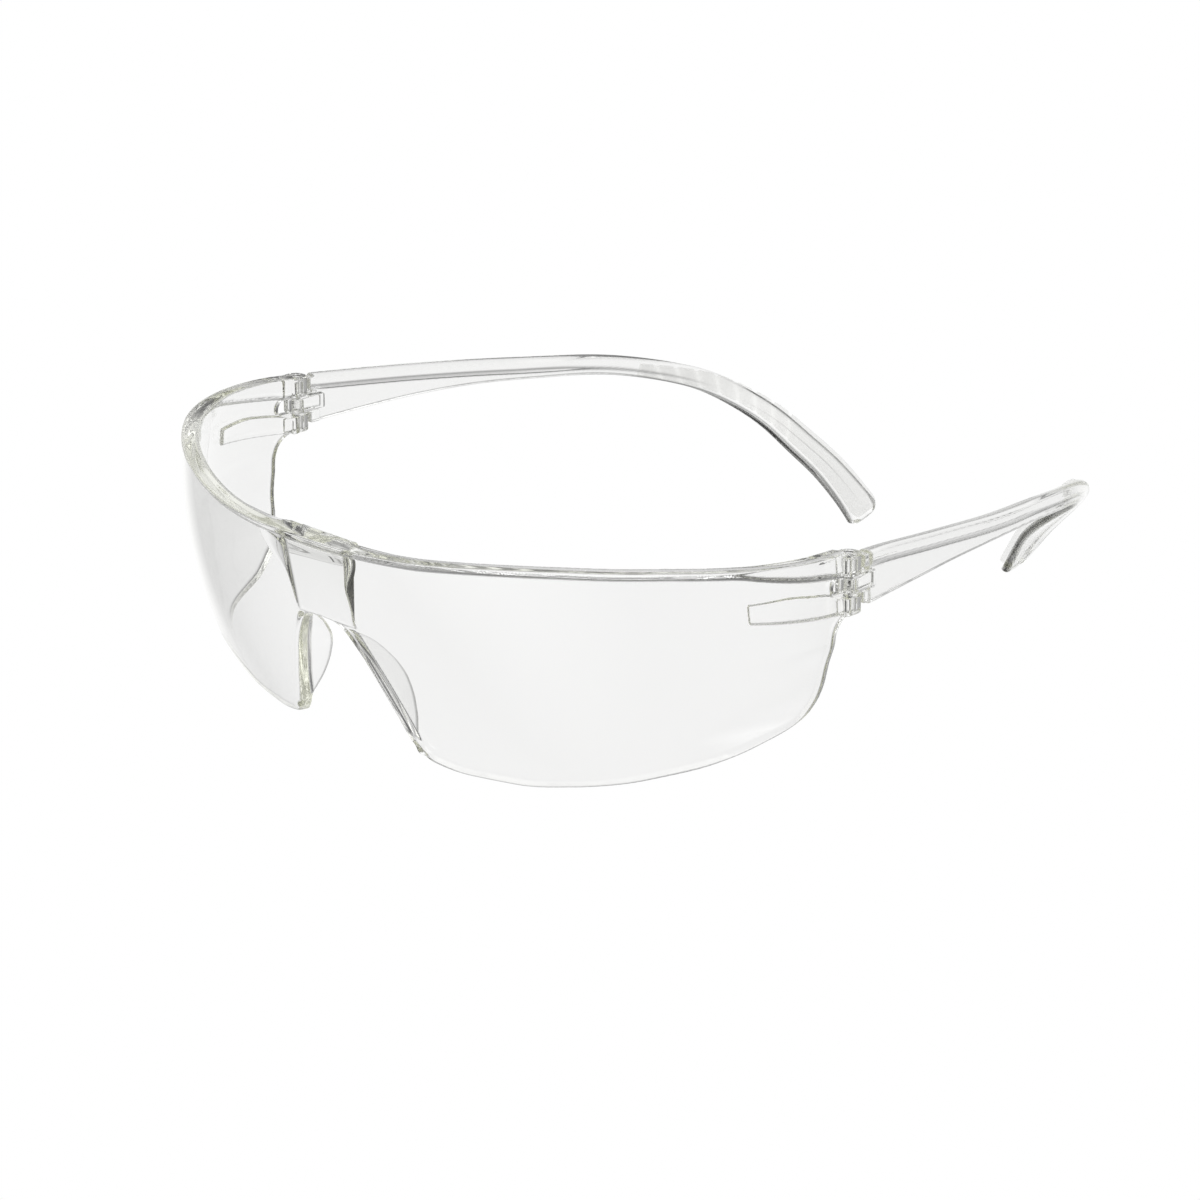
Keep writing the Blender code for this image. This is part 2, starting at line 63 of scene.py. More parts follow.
# ------------------------------------------------------------------ field tools
class Curve:
    """Monotone smooth curve through (x, value) points, for arrays."""

    def __init__(self, points):
        self.x, self.y = np.array(points, float).T
        self.gap = gap = np.diff(self.x)
        rise = np.diff(self.y) / gap
        self.tangent = tangent = np.zeros_like(self.x)
        tangent[0], tangent[-1] = rise[0], rise[-1]
        for i in range(1, len(self.x) - 1):
            if rise[i - 1] * rise[i] > 0:
                before, after = 2 * gap[i] + gap[i - 1], gap[i] + 2 * gap[i - 1]
                tangent[i] = (before + after) / (before / rise[i - 1] + after / rise[i])

    def __call__(self, x):
        x = np.clip(x, self.x[0], self.x[-1])
        i = np.clip(np.searchsorted(self.x, x) - 1, 0, len(self.gap) - 1)
        gap = self.gap[i]
        t = (x - self.x[i]) / gap
        return ((1 + 2 * t) * (1 - t) ** 2 * self.y[i]
                + t * (1 - t) ** 2 * gap * self.tangent[i]
                + t * t * (3 - 2 * t) * self.y[i + 1]
                + t * t * (t - 1) * gap * self.tangent[i + 1])

    def slope(self, x):
        step = 0.02
        return (self(x + step) - self(x - step)) / (2 * step)


def soft_min(a, b, reach):
    """Union of two fields, blended where they differ by less than reach."""
    near = np.maximum(reach - np.abs(a - b), 0.0) / reach
    return np.minimum(a, b) - near * near * reach * 0.25


def soft_max(a, b, reach):
    return -soft_min(-a, -b, reach)


def both(a, b, radius):
    """Inside both, with the shared edge rounded to radius."""
    corner = np.hypot(np.maximum(a + radius, 0), np.maximum(b + radius, 0))
    return np.minimum(np.maximum(a, b), -radius) + corner


def slab(value, low, high):
    return np.abs(value - 0.5 * (low + high)) - 0.5 * (high - low)


def ramp(x, start, end):
    """Smooth step from 0 at start to 1 at end."""
    t = np.clip((x - start) / (end - start), 0.0, 1.0)
    return t * t * (3 - 2 * t)


def bell(value, width):
    return np.exp(-(value / width) ** 2)


# ------------------------------------------------------------------ meshing
def gradient(field, points, step):
    result = np.empty_like(points)
    for axis in range(3):
        offset = np.zeros(3)
        offset[axis] = step
        result[:, axis] = (field(points + offset) - field(points - offset)) / (2 * step)
    return result


def settle(field, points, size, times):
    """Newton steps onto the zero surface, each held to one cell."""
    for _ in range(times):
        slope = gradient(field, points, size * 0.06)
        move = field(points) / np.maximum((slope * slope).sum(1), 0.05)
        points = points - slope * np.clip(move, -size, size)[:, None]
    return points


def grid(counts):
    axes = [np.arange(count) for count in counts]
    return np.stack(np.meshgrid(*axes, indexing="ij"), -1).reshape(-1, 3)


CORNERS = grid([2] * 3)


def surface_cells(field, low, high, size):
    """Cells the surface passes through, their corner values, and the grid shape."""
    split = 4                             # cells along each side of a search block
    block = size * split
    counts = np.ceil((high - low) / block).astype(int)
    blocks = grid(counts)
    blocks = blocks[np.abs(field(low + (blocks + 0.5) * block)) < block * 1.15]
    starts = blocks[:, None, :] * split
    nodes = (starts + grid([split + 1] * 3)[None]).reshape(-1, 3)
    need = np.zeros(tuple(counts * split + 1), bool)
    need[tuple(nodes.T)] = True
    value = np.full(need.shape, 9.0, np.float32)
    value[need] = field(low + np.argwhere(need) * size)
    cells = (starts + grid([split] * 3)[None]).reshape(-1, 3)
    values = np.stack([value[tuple((cells + corner).T)] for corner in CORNERS], 1)
    inside = values < 0
    active = inside.any(1) & ~inside.all(1)
    return cells[active], values[active], tuple(counts * split)


def cell_quads(cells, inside, shape):
    """One quad round every grid edge that crosses the surface."""
    number = np.full(shape, -1, np.int64)
    number[tuple(cells.T)] = np.arange(len(cells))
    unit = np.eye(3, dtype=int)
    quads = []
    for axis in range(3):
        second, third = unit[(axis + 1) % 3], unit[(axis + 2) % 3]
        far_corner = int(np.flatnonzero((CORNERS == unit[axis]).all(1))[0])
        rows = np.flatnonzero(inside[:, 0] != inside[:, far_corner])
        cell = cells[rows]
        ring = [cell - second - third, cell - third, cell, cell - second]
        ids = np.stack([number[tuple(around.T)] for around in ring], 1)
        flip = ~inside[rows, 0]
        ids[flip] = ids[flip][:, ::-1]
        quads.append(ids)
    quads = np.concatenate(quads)
    return quads[(quads >= 0).all(1)]


def relax(points, quads):
    """Move each point halfway to the mean of its neighbours."""
    total, count = np.zeros_like(points), np.zeros(len(points))
    for i in range(4):
        start, end = quads[:, i], quads[:, (i + 1) % 4]
        for here, other in ((start, end), (end, start)):
            count += np.bincount(here, minlength=len(points))
            for axis in range(3):
                total[:, axis] += np.bincount(here, weights=points[other, axis],
                                              minlength=len(points))
    return points + 0.5 * (total / np.maximum(count, 1)[:, None] - points)


def net(field, box, size):
    """Closed quad mesh of the zero surface of field: points, quads and normals."""
    low, high = np.array(box, float)
    cells, values, shape = surface_cells(field, low, high, size)
    inside = values < 0
    total, count = np.zeros((len(cells), 3)), np.zeros(len(cells))
    for i in range(8):
        for j in range(i + 1, 8):
            if np.abs(CORNERS[i] - CORNERS[j]).sum() != 1:
                continue
            cross = inside[:, i] != inside[:, j]
            span = np.where(cross, values[:, j] - values[:, i], 1.0)
            t = np.where(cross, -values[:, i] / span, 0.0)
            hit = CORNERS[i] + t[:, None] * (CORNERS[j] - CORNERS[i])
            total += np.where(cross[:, None], hit, 0.0)
            count += cross
    points = low + (cells + total / count[:, None]) * size
    quads = cell_quads(cells, inside, shape)
    points = settle(field, points, size, times=2)
    for _ in range(2):
        points = settle(field, relax(points, quads), size, times=1)
    points = settle(field, points, size, times=1)
    normals = gradient(field, points, size * 0.06)
    normals = normals / np.maximum(np.linalg.norm(normals, axis=1), 1e-9)[:, None]
    return points, quads, normals


def link_object(name, data):
    created = bpy.data.objects.new(name, data)
    scene.collection.objects.link(created)
    return created


def to_frame(points, side):
    """Field points in the frame's metres; side -1 mirrors them to -X."""
    return (points * (side, 1, 1) + SHIFT) * MM


def add_net(name, surface, edge, material, side=1):
    """Mesh object from a net; edge is kept as a vertex value for the material: painted dark edge
    shade on the lens and temples, groove clearness on the grips.
    """
    points, quads, normals = surface
    quads = quads[:, ::side]
    mesh = bpy.data.meshes.new(name)
    mesh.vertices.add(len(points))
    mesh.vertices.foreach_set("co", to_frame(points, side).astype(np.float32).ravel())
    mesh.loops.add(quads.size)
    mesh.loops.foreach_set("vertex_index", quads.astype(np.int32).ravel())
    mesh.polygons.add(len(quads))
    mesh.polygons.foreach_set("loop_start", np.arange(0, quads.size, 4, dtype=np.int32))
    mesh.update(calc_edges=True)
    mesh.validate()
    mesh.polygons.foreach_set("use_smooth", np.ones(len(mesh.polygons), bool))
    mesh.normals_split_custom_set_from_vertices((normals * (side, 1, 1)).tolist())
    values = mesh.attributes.new("edge", "FLOAT", "POINT").data
    values.foreach_set("value", edge.astype(np.float32))
    mesh.materials.append(material)
    return link_object(name, mesh)


# ------------------------------------------------------------------ lens shield
# Plan outline of the outer face: a modified ellipse about (0, PLAN_Y). Each row holds the
# constant, linear and square terms in depth below the hinge tops over PLAN_DROP.
PLAN_Y = -8.0
PLAN_DROP = 40.0
PLAN_TERMS = ((71.0, -2.2, 8.3),          # half width
              (52.5, -13.2, 0.6),         # half depth
              (-0.044, 0.34, -0.44))      # bulge between the axes

# edges of the shield: plan angle in degrees from the nose, z
top_edge = Curve([(0, 0.9), (12, 0.75), (20, 0.9), (28, 1.4), (36, 1.9), (46, 2.2),
                  (58, 2.2), (67, 1.9), (76, 1.5), (86, 1.1), (94, 0.7), (99, 0.3)])
bar_edge = Curve([(0, -0.3), (12, -0.35), (20, -0.2), (28, 0.4), (36, 0.9), (46, 1.2),
                  (58, 1.2), (66, 0.9), (72, 0.5), (77, -0.4), (82, -1.3), (87, -2.1),
                  (93, -2.9), (97, -3.6), (99, -3.7)])
low_edge = Curve([(0, -15.2), (2.2, -15.4), (3.6, -16.1), (5.9, -20.2), (9.2, -29.0),
                  (12.2, -36.6), (15, -39.4), (21.5, -40.5), (29, -40.5), (38, -39.0),
                  (46, -37.05), (54, -35.4), (66, -34.0), (74, -32.8), (82, -30.6),
                  (86, -29.2), (89, -27.4), (91, -24.6), (92.5, -18.5), (94.2, -12.7),
                  (96.4, -11.0), (98.4, -10.4)])
rib_top = Curve([(74, -4.9), (82, -4.95), (90, -5.9), (96, -6.85), (98.4, -7.05)])
rib_low = Curve([(74, -7.9), (82, -8.8), (90, -9.6), (98.4, -10.35)])

# inward pull of the sides: z, millimetres; it grows between two plan angles
tuck = Curve([(-42, 14.5), (-36, 11.1), (-33, 9.1), (-30, 6.9), (-26, 3.6), (-21, 0.9),
              (-17.5, 0.0), (-14, -0.9), (-9, -0.9), (0, 0.0)])
TUCK_ANGLES = (43.0, 81.0)

# free edge of each nose flange: z, x and z, y
back_x = Curve([(-38.2, 15.0), (-36.6, 14.2), (-34.0, 12.8), (-31.2, 11.6), (-28.4, 10.5),
                (-25.6, 9.4), (-23.0, 8.3), (-20.4, 7.4), (-18.6, 6.9), (-17.0, 6.1),
                (-15.8, 5.0)])
back_y = Curve([(-38.2, -47.2), (-36.6, -47.0), (-34.0, -46.0), (-31.2, -45.1),
                (-28.4, -44.8), (-25.6, -45.1), (-23.0, -46.1), (-20.4, -48.0),
                (-18.6, -49.7), (-17.0, -51.8), (-15.8, -54.0)])

SHIELD_END, BAR_END = 98.4, 98.2          # degrees
RIB_ANGLES = (74.3, 98.3)
RIB_PROUD, RIB_GROWTH = 0.55, 0.75        # behind the inner face; added towards the hinge
BRIDGE_HALF, BRIDGE_TAPER, BRIDGE_TAPER_RUN = 7.2, 0.3, 6.0
BRIDGE_BACK_Y = -53.0
BRIDGE_Z = (-15.45, -0.9)
FLANGE_Z = (-38.0, -16.0)
FLANGE_OUT = 0.85                         # sideways shift of the leaf
FLANGE_HALF, FLANGE_THINNING = 0.78, 0.12
LUG_RADIUS, LUG_FRONT_Y = 2.2, -2.6
UPPER_LUG_Z, LOWER_LUG_Z = (-3.70, 0.0), (-10.40, -7.05)
SLOT_Y = (-4.9, 9.0)
SLOT_Z = (LOWER_LUG_Z[1], UPPER_LUG_Z[0])
SLOT_HALF, SLOT_ROUND = 5, 1.55
LENS_BORE_TOP = -0.80
LENS_BOTTOM = -40.49


def plan_terms(z):
    drop = -z / PLAN_DROP
    return [a + b * drop + c * drop * drop for a, b, c in PLAN_TERMS] + [tuck(z)]


def plan_xy(angle, terms):
    """Outer face at a plan angle in radians."""
    half_width, half_depth, bulge, pull = terms
    sine, cosine = np.sin(angle), np.cos(angle)
    x = half_width * sine * (1 + bulge * cosine * cosine)
    y = -half_depth * cosine * (1 + bulge * sine * sine)
    keep = 1 - pull * ramp(np.degrees(np.abs(angle)), *TUCK_ANGLES) / np.hypot(x, y)
    return np.array([x * keep, PLAN_Y + y * keep])


def unroll(x, y, z):
    """Plan angle in degrees, depth behind the outer face, and mm per degree; x >= 0."""
    terms = plan_terms(z)
    angle = np.arctan2(x / terms[0], np.maximum(-(y - PLAN_Y) / terms[1], -2.0))
    step = 2e-3
    steps = 4
    for i in range(steps + 1):
        here = plan_xy(angle, terms)
        after, before = plan_xy(angle + step, terms), plan_xy(angle - step, terms)
        slope = (after - before) / (2 * step)
        gap = here - np.array([x, y])
        if i == steps:
            break
        bend = (after + before - 2 * here) / (step * step)
        error = gap[0] * slope[0] + gap[1] * slope[1]
        rate = slope[0] * slope[0] + slope[1] * slope[1] + gap[0] * bend[0] + gap[1] * bend[1]
        turn = np.clip(error / np.maximum(rate, 300.0), -0.15, 0.15)
        angle = np.clip(angle - turn, -0.3, 2.0)
    length = np.hypot(*slope)
    depth = (gap[0] * slope[1] - gap[1] * slope[0]) / length
    return np.degrees(angle), depth, length * math.pi / 180


def plan_point(degrees, z, depth):
    """Plan position at a depth behind the outer face."""
    terms = plan_terms(z)
    angle, step = np.radians(degrees), 1e-4
    x, y = plan_xy(angle, terms)
    chord = plan_xy(angle + step, terms) - plan_xy(angle - step, terms)
    length = np.hypot(*chord)
    return x - chord[1] / length * depth, y + chord[0] / length * depth


# front edge of each nose flange, found on the nose cut of the shield
cut_angles = np.linspace(3.6, 13.6, 400)
cut_heights = low_edge(cut_angles)
flange_heights = np.linspace(-38.2, -15.8, 60)
flange_front = np.array([
    plan_point(np.interp(z, cut_heights[::-1], cut_angles[::-1]), z, depth=0.9)
    for z in flange_heights])


def past_low_edge(degrees, per_degree, z):
    tilt = np.sqrt(1 + (low_edge.slope(degrees) / per_degree) ** 2)
    return (low_edge(degrees) - z) / tilt


def shield(degrees, depth, per_degree, z, top):
    rim = np.maximum(past_low_edge(degrees, per_degree, z), z - (top - 0.35))
    rim = np.maximum(rim, (degrees - SHIELD_END) * per_degree)
    return both(slab(depth, 0.0, LENS_T), rim, radius=0.42)


def brow_bar(degrees, depth, per_degree, z, top):
    """Bar along the top, deeper over the nose and growing taller towards the hinge."""
    extra = 0.9 * np.maximum(0.0, 1 - (degrees / 17.0) ** 2)
    bar = both(slab(depth, -0.35, 2.85 + extra),
               slab(z, bar_edge(degrees), top - 0.02), radius=0.36)
    return np.maximum(bar, (degrees - BAR_END) * per_degree)


def add_bridge(body, x, y, z, depth, top):
    """Block behind the shield over the nose, flared into it towards the top."""
    front = PLAN_Y - plan_terms(z)[1] + 1.2
    half = BRIDGE_HALF - BRIDGE_TAPER * np.clip((y - front) / BRIDGE_TAPER_RUN, 0, 1)
    block = both(x - half, y - BRIDGE_BACK_Y, radius=0.35)
    block = both(block, slab(z, *BRIDGE_Z), radius=0.35)
    block = np.maximum(block, front - y)
    flare = soft_min(body, block, reach=0.5 + 4.5 * ramp(z, -9.0, -1.5))
    return np.minimum(body, np.maximum(np.maximum(flare, 0.4 - depth), z - (top - 0.4)))


def nose_flange(x, y, z):
    """Thin leaf from the nose cut back to its free edge."""
    start_x = np.interp(z, flange_heights, flange_front[:, 0]) + FLANGE_OUT
    start_y = np.interp(z, flange_heights, flange_front[:, 1])
    run_x, run_y = back_x(z) + FLANGE_OUT - start_x, back_y(z) - start_y
    t = (x - start_x) * run_x + (y - start_y) * run_y
    t = np.clip(t / (run_x * run_x + run_y * run_y + 1e-9), 0, 1)
    leaf = np.hypot(x - start_x - t * run_x, y - start_y - t * run_y)
    return soft_max(leaf - (FLANGE_HALF - FLANGE_THINNING * t), slab(z, *FLANGE_Z), reach=0.6)


def lower_rib(degrees, depth, per_degree, z):
    """Rib inside the shield, running to the lower lug."""
    start, end = RIB_ANGLES
    share = np.clip((degrees - start) / (end - start), 0, 1)
    rib = both(slab(depth, 0.5, LENS_T + RIB_PROUD + RIB_GROWTH * share),
               slab(z, rib_low(degrees), rib_top(degrees)), radius=0.3)
    ends = np.maximum((start - degrees) * per_degree, (degrees - end) * per_degree)
    return both(rib, ends, radius=0.25)


def lens_field(points):
    x, y, z = np.abs(points[:, 0]), points[:, 1], points[:, 2]
    degrees, depth, per_degree = unroll(x, y, z)
    top = top_edge(degrees)
    body = shield(degrees, depth, per_degree, z, top)
    body = soft_min(body, brow_bar(degrees, depth, per_degree, z, top), reach=0.5)
    body = add_bridge(body, x, y, z, depth, top)
    body = soft_min(body, nose_flange(x, y, z), reach=0.7)
    body = soft_min(body, lower_rib(degrees, depth, per_degree, z), reach=0.35)
    lug = np.hypot(x - HINGE_X, np.maximum(y, 0)) - LUG_RADIUS
    lug = np.maximum(lug, LUG_FRONT_Y - y)
    for heights in (UPPER_LUG_Z, LOWER_LUG_Z):
        body = soft_min(body, both(lug, slab(z, *heights), radius=0.25), reach=0.3)
    slot = both(slab(y, *SLOT_Y), slab(z, *SLOT_Z), radius=SLOT_ROUND)
    slot = np.maximum(slot, np.abs(x - HINGE_X) - SLOT_HALF)
    body = soft_max(body, -slot, reach=0.3)
    bore = np.maximum(np.hypot(x - HINGE_X, y) - BORE_RADIUS, z - LENS_BORE_TOP)
    body = np.maximum(body, LENS_BOTTOM - z)
    return both(body, -bore, BORE_ROUND)


def lens_painted_edge_shade(points):
    """1 along the sharp moulding edges, where dark lines are painted in as shade: they stand in
    for the dark refraction lines the clear plastic shows there against white.
    """
    x, y, z = np.abs(points[:, 0]), points[:, 1], points[:, 2]
    degrees, depth, per_degree = unroll(x, y, z)
    bar = bar_edge(degrees)
    # Painted dark shade lines along the low rim, both edges of the brow bar and the sides of the
    # bridge.
    low_rim_shade = bell(past_low_edge(degrees, per_degree, z) + 0.10, 0.26) * bell(depth - 0.10, 0.34)
    low_rim_shade = low_rim_shade * ramp(degrees, 12.0, 17.0) * (1 - ramp(degrees, 84.0, 90.0))
    bar_outer_shade = bell(z - bar - 0.05, 0.22) * (depth < 0.2)
    bar_inner_shade = bell(z - bar, 0.22) * (depth > LENS_T + 0.1) * (depth < 3.3) * 0.55
    bridge_side_shade = (bell(x - 7.05, 0.35) * (depth > LENS_T + 0.25)
                   * (y < -52.85) * (z > -15.3) * (z < -1.2))
    edge = np.maximum(np.maximum(low_rim_shade, bar_outer_shade), bar_inner_shade)
    return np.clip(np.maximum(edge, bridge_side_shade), 0, 1)


# ------------------------------------------------------------------ temples
# left blade from hinge to hook tip: upper edge (x, y, z), lower edge (x, y, z)
STATIONS = [((70.9, 3.9, -0.45), (71.3, 3.9, -9.8)),
            ((69.9, 9.5, -0.95), (70.7, 9.5, -9.5)),
            ((68.8, 18.9, -2.0), (69.5, 18.9, -9.15)),
            ((67.4, 28.5, -3.1), (68.0, 28.5, -8.95)),
            ((65.3, 40.9, -4.6), (65.8, 40.7, -9.2)),
            ((62.0, 53.4, -6.1), (62.5, 53.5, -10.1)),
            ((58.5, 64.3, -7.5), (59.1, 64.5, -11.2)),
            ((54.0, 74.6, -9.5), (54.4, 74.7, -13.1)),
            ((48.8, 84.8, -12.3), (48.1, 83.7, -16.1)),
            ((44.2, 91.5, -16.4), (42.6, 88.6, -19.5)),
            ((38.5, 96.4, -21.0), (36.9, 91.3, -23.0)),
            ((32.8, 99.2, -25.8), (31.2, 92.6, -27.0)),
            ((27.6, 101.5, -30.1), (26.7, 94.4, -30.7)),
            ((22.9, 103.2, -34.6), (23.1, 96.2, -35.2)),
            ((19.2, 104.1, -38.4), (20.9, 97.4, -38.4))]
LAST = len(STATIONS) - 1
PER_STATION = 60                          # samples a station
END_TOLERANCE = 1e-6                      # stations

RAIL_WIDTH, RAIL_SHARE = 2.6, 0.62        # widest rail; most of the blade it may take
TIP_RADIUS = 2.0
TONGUE_RADIUS, TONGUE_LENGTH = 2.25, 5.2
TONGUE_LEAN, TONGUE_TAPER = 0.375, 0.525  # shift towards the middle; loss of half width
TONGUE_END_Y = 5.4
TONGUE_Z = (-6.78, -3.97)
PAD_HALF = 1.15
PAD_Y = (2.75, 5.0)
PAD_HEIGHTS = ((-3.1, -0.9), (-9.5, -7.4))


def catmull(points, places):
    p = np.array(points, float)
    p = np.vstack([2 * p[0] - p[1], p, 2 * p[-1] - p[-2]])
    i = np.clip(np.floor(places).astype(int), 0, LAST - 1)
    t = (places - i)[:, None]
    a, b, c, d = p[i], p[i + 1], p[i + 2], p[i + 3]
    return 0.5 * (2 * b + (c - a) * t + (2 * a - 5 * b + 4 * c - d) * t * t
                  + (3 * b - a - 3 * c + d) * t ** 3)


def soften(rows, sigma):
    """Gaussian along the samples with the ends held."""
    reach = int(3 * sigma)
    kernel = np.exp(-0.5 * (np.arange(-reach, reach + 1) / sigma) ** 2)
    kernel /= kernel.sum()
    padded = np.vstack([2 * rows[0] - rows[reach:0:-1], rows,
                        2 * rows[-1] - rows[-2:-reach - 2:-1]])
    return np.stack([np.convolve(column, kernel, "valid") for column in padded.T], 1)


places = np.linspace(0, LAST, LAST * PER_STATION + 1)
upper_edge, lower_edge = [soften(catmull(edge, places), sigma=16.0) for edge in zip(*STATIONS)]
middle = 0.5 * (upper_edge + lower_edge)
tangent = np.gradient(middle, axis=0)
speed = np.linalg.norm(tangent, axis=1) * PER_STATION          # millimetres per station
tangent = tangent / np.linalg.norm(tangent, axis=1)[:, None]
upward = upper_edge - lower_edge
blade_width = np.linalg.norm(upward, axis=1)
upward = upward / blade_width[:, None]
outward = np.cross(tangent, upward)
outward = soften(outward / np.linalg.norm(outward, axis=1)[:, None], sigma=10.0)
arc = np.concatenate([[0], np.cumsum(np.linalg.norm(np.diff(middle, axis=0), axis=1))])
guess = middle[:, 1] - 1.5 * middle[:, 2]  # rises steadily along the blade


def pick(table, station):
    """Rows of a sampled table at station values, linear between samples."""
    sample = np.clip(station, 0, LAST) * PER_STATION
    i = np.minimum(sample.astype(int), LAST * PER_STATION - 1)
    t = sample - i
    if table.ndim > 1:
        t = t[:, None]
    return table[i] * (1 - t) + table[i + 1] * t


def along_temple(points):
    """Station, distance past either end, below the upper edge, outward, and blade width."""
    station = np.interp(points[:, 1] - 1.5 * points[:, 2], guess, places)
    for _ in range(5):
        error = ((points - pick(middle, station)) * pick(tangent, station)).sum(1)
        move = np.clip(error / pick(speed, station), -0.5, 0.5)
        station = np.clip(station + move, 0, LAST)
    offset = points - pick(middle, station)
    past = (offset * pick(tangent, station)).sum(1)
    width = pick(blade_width, station)
    below = 0.5 * width - (offset * pick(upward, station)).sum(1)
    return station, past, below, (offset * pick(outward, station)).sum(1), width


def rail_width(width):
    return np.minimum(RAIL_WIDTH, RAIL_SHARE * width)


def end_cut(past, radius):
    """How far a rounded end has drawn in from the full width."""
    return radius * (1 - np.sqrt(np.clip(1 - (past / radius) ** 2, 0.02, 1)))


def trim_hook(body, points, back, bottom):
    return soft_max(soft_max(body, points[:, 1] - back, reach=0.2),
                    bottom - points[:, 2], reach=0.2)


def blade(points):
    """Web with a thicker rail along its upper edge, evening out into the hook."""
    station, past, below, off, width = along_temple(points)
    hook = ramp(station, 5.0, 6.6)
    at_end = station >= LAST - END_TOLERANCE
    cut = end_cut(np.maximum(past + 0.2, 0) * at_end, TIP_RADIUS)
    rail = both(slab(off, -(2.25 - 1.55 * hook), 0.75 + 0.25 * hook),
                slab(below, cut, rail_width(width)), radius=0.85 - 0.2 * hook)
    body = both(slab(off, -(1.65 - 0.95 * hook), 0.15 + 0.85 * hook),
                slab(below, cut, width - cut), radius=0.5)
    body = soft_min(body, rail, reach=0.45)
    # ends: 5.6 is about the length in mm of the first station
    at_start = station <= END_TOLERANCE
    front = np.where(station < 0.5, -past * at_start - ~at_start * station * 5.6, -9.0)
    body = both(body, front, radius=0.35)
    back = np.where(station > LAST - 0.5, past * at_end - 1.75, -9.0)
    return both(body, back, radius=0.5)


def temple_field(points):
    x, y, z = points.T
    body = blade(points)
    # tongue round the pin
    share = np.clip(y / TONGUE_LENGTH, 0, 1)
    tongue = np.where(y < 0, np.hypot(x - HINGE_X, y) - TONGUE_RADIUS,
                      np.abs(x - HINGE_X + TONGUE_LEAN * share) - TONGUE_RADIUS
                      + TONGUE_TAPER * share)
    tongue = np.maximum(tongue, y - TONGUE_END_Y)
    body = soft_min(body, both(tongue, slab(z, *TONGUE_Z), radius=0.25), reach=0.35)
    # stop pads above and below the tongue
    pad = both(slab(x, HINGE_X - PAD_HALF, HINGE_X + PAD_HALF), slab(y, *PAD_Y), radius=0.2)
    for heights in PAD_HEIGHTS:
        body = soft_min(body, both(pad, slab(z, *heights), radius=0.2), reach=0.25)
    body = trim_hook(body, points, back=104.12, bottom=-40.34)
    bore = np.hypot(x - HINGE_X, y) - BORE_RADIUS
    return both(body, -bore, BORE_ROUND)


def temple_painted_edge_shade(points):
    """1 along the lower edge of the blade and under the rail, where dark lines are painted in as
    shade.
    """
    station, _, below, off, width = along_temple(points)
    hook = ramp(station, 6.5, 9.0)
    centre = -0.75 * (1 - hook) + 0.2 * hook
    # Painted dark shade along the lower edge of the blade and under the rail.
    low = bell(width - below - 0.08, 0.26 + 0.14 * hook) * bell(off - centre, 0.48 + 0.5 * hook)
    under_rail_shade = bell(below - rail_width(width) - 0.05, 0.20) * (1 - hook)
    under_rail_shade = under_rail_shade * ramp(station, 0.15, 0.6) * 0.8
    return np.clip(np.maximum(low * ramp(station, 0.1, 0.5), under_rail_shade), 0, 1)


# ------------------------------------------------------------------ grips
GROOVE_PITCH, GROOVE_SLANT = 4.1, 0.62
GROOVE_LEAD = 2.2                         # from the grip's start to the first pitch
GROOVES_END = 7.55                        # pitches
GRIP_START = np.interp(6.9, places, arc)  # millimetres along the blade
GRIP_END = arc[-1] + 0.9
GRIP_TIP, GRIP_TIP_RADIUS = 2.2, 2.6


def groove_phase(station, below, width):
    """Fraction of a pitch, and whether the place lies in the grooved length."""
    run = pick(arc, station) + GROOVE_SLANT * (0.5 * width - below)
    phase = (run - GRIP_START - GROOVE_LEAD) / GROOVE_PITCH
    return phase - np.floor(phase), phase < GROOVES_END


def grip_field(points):
    station, past, below, off, width = along_temple(points)
    fraction, grooved = groove_phase(station, below, width)
    groove = bell(fraction - 0.5, 0.105) * grooved
    here = pick(arc, station) + past
    taper = ramp(here, GRIP_START, GRIP_START + 6.0)
    inner = -2.0 + 0.40 * groove * taper + 0.65 * (1 - taper)
    inset = 0.4 + 0.30 * groove * taper
    cut = end_cut(np.clip(here - (GRIP_END - GRIP_TIP), 0, GRIP_TIP), GRIP_TIP_RADIUS)
    body = both(slab(off, inner, -1.0), slab(below, inset + cut, width - inset - cut), radius=0.3)
    body = both(body, np.maximum(GRIP_START - here, here - GRIP_END), radius=0.3)
    return trim_hook(body, points, back=104.05, bottom=-40.28)


def grip_edge(points):
    """1 in the grooves between the ribs, where the skin is thin and clearer."""
    station, _, below, _, width = along_temple(points)
    fraction, grooved = groove_phase(station, below, width)
    return bell(fraction - 0.5, 0.15) * grooved


# ------------------------------------------------------------------ hinge pins
PIN_SEGMENTS = 96
PIN_RADIUS, PIN_EASE = 0.80, 0.12
PIN_BOTTOM, PIN_TOP = -10.25, -0.95


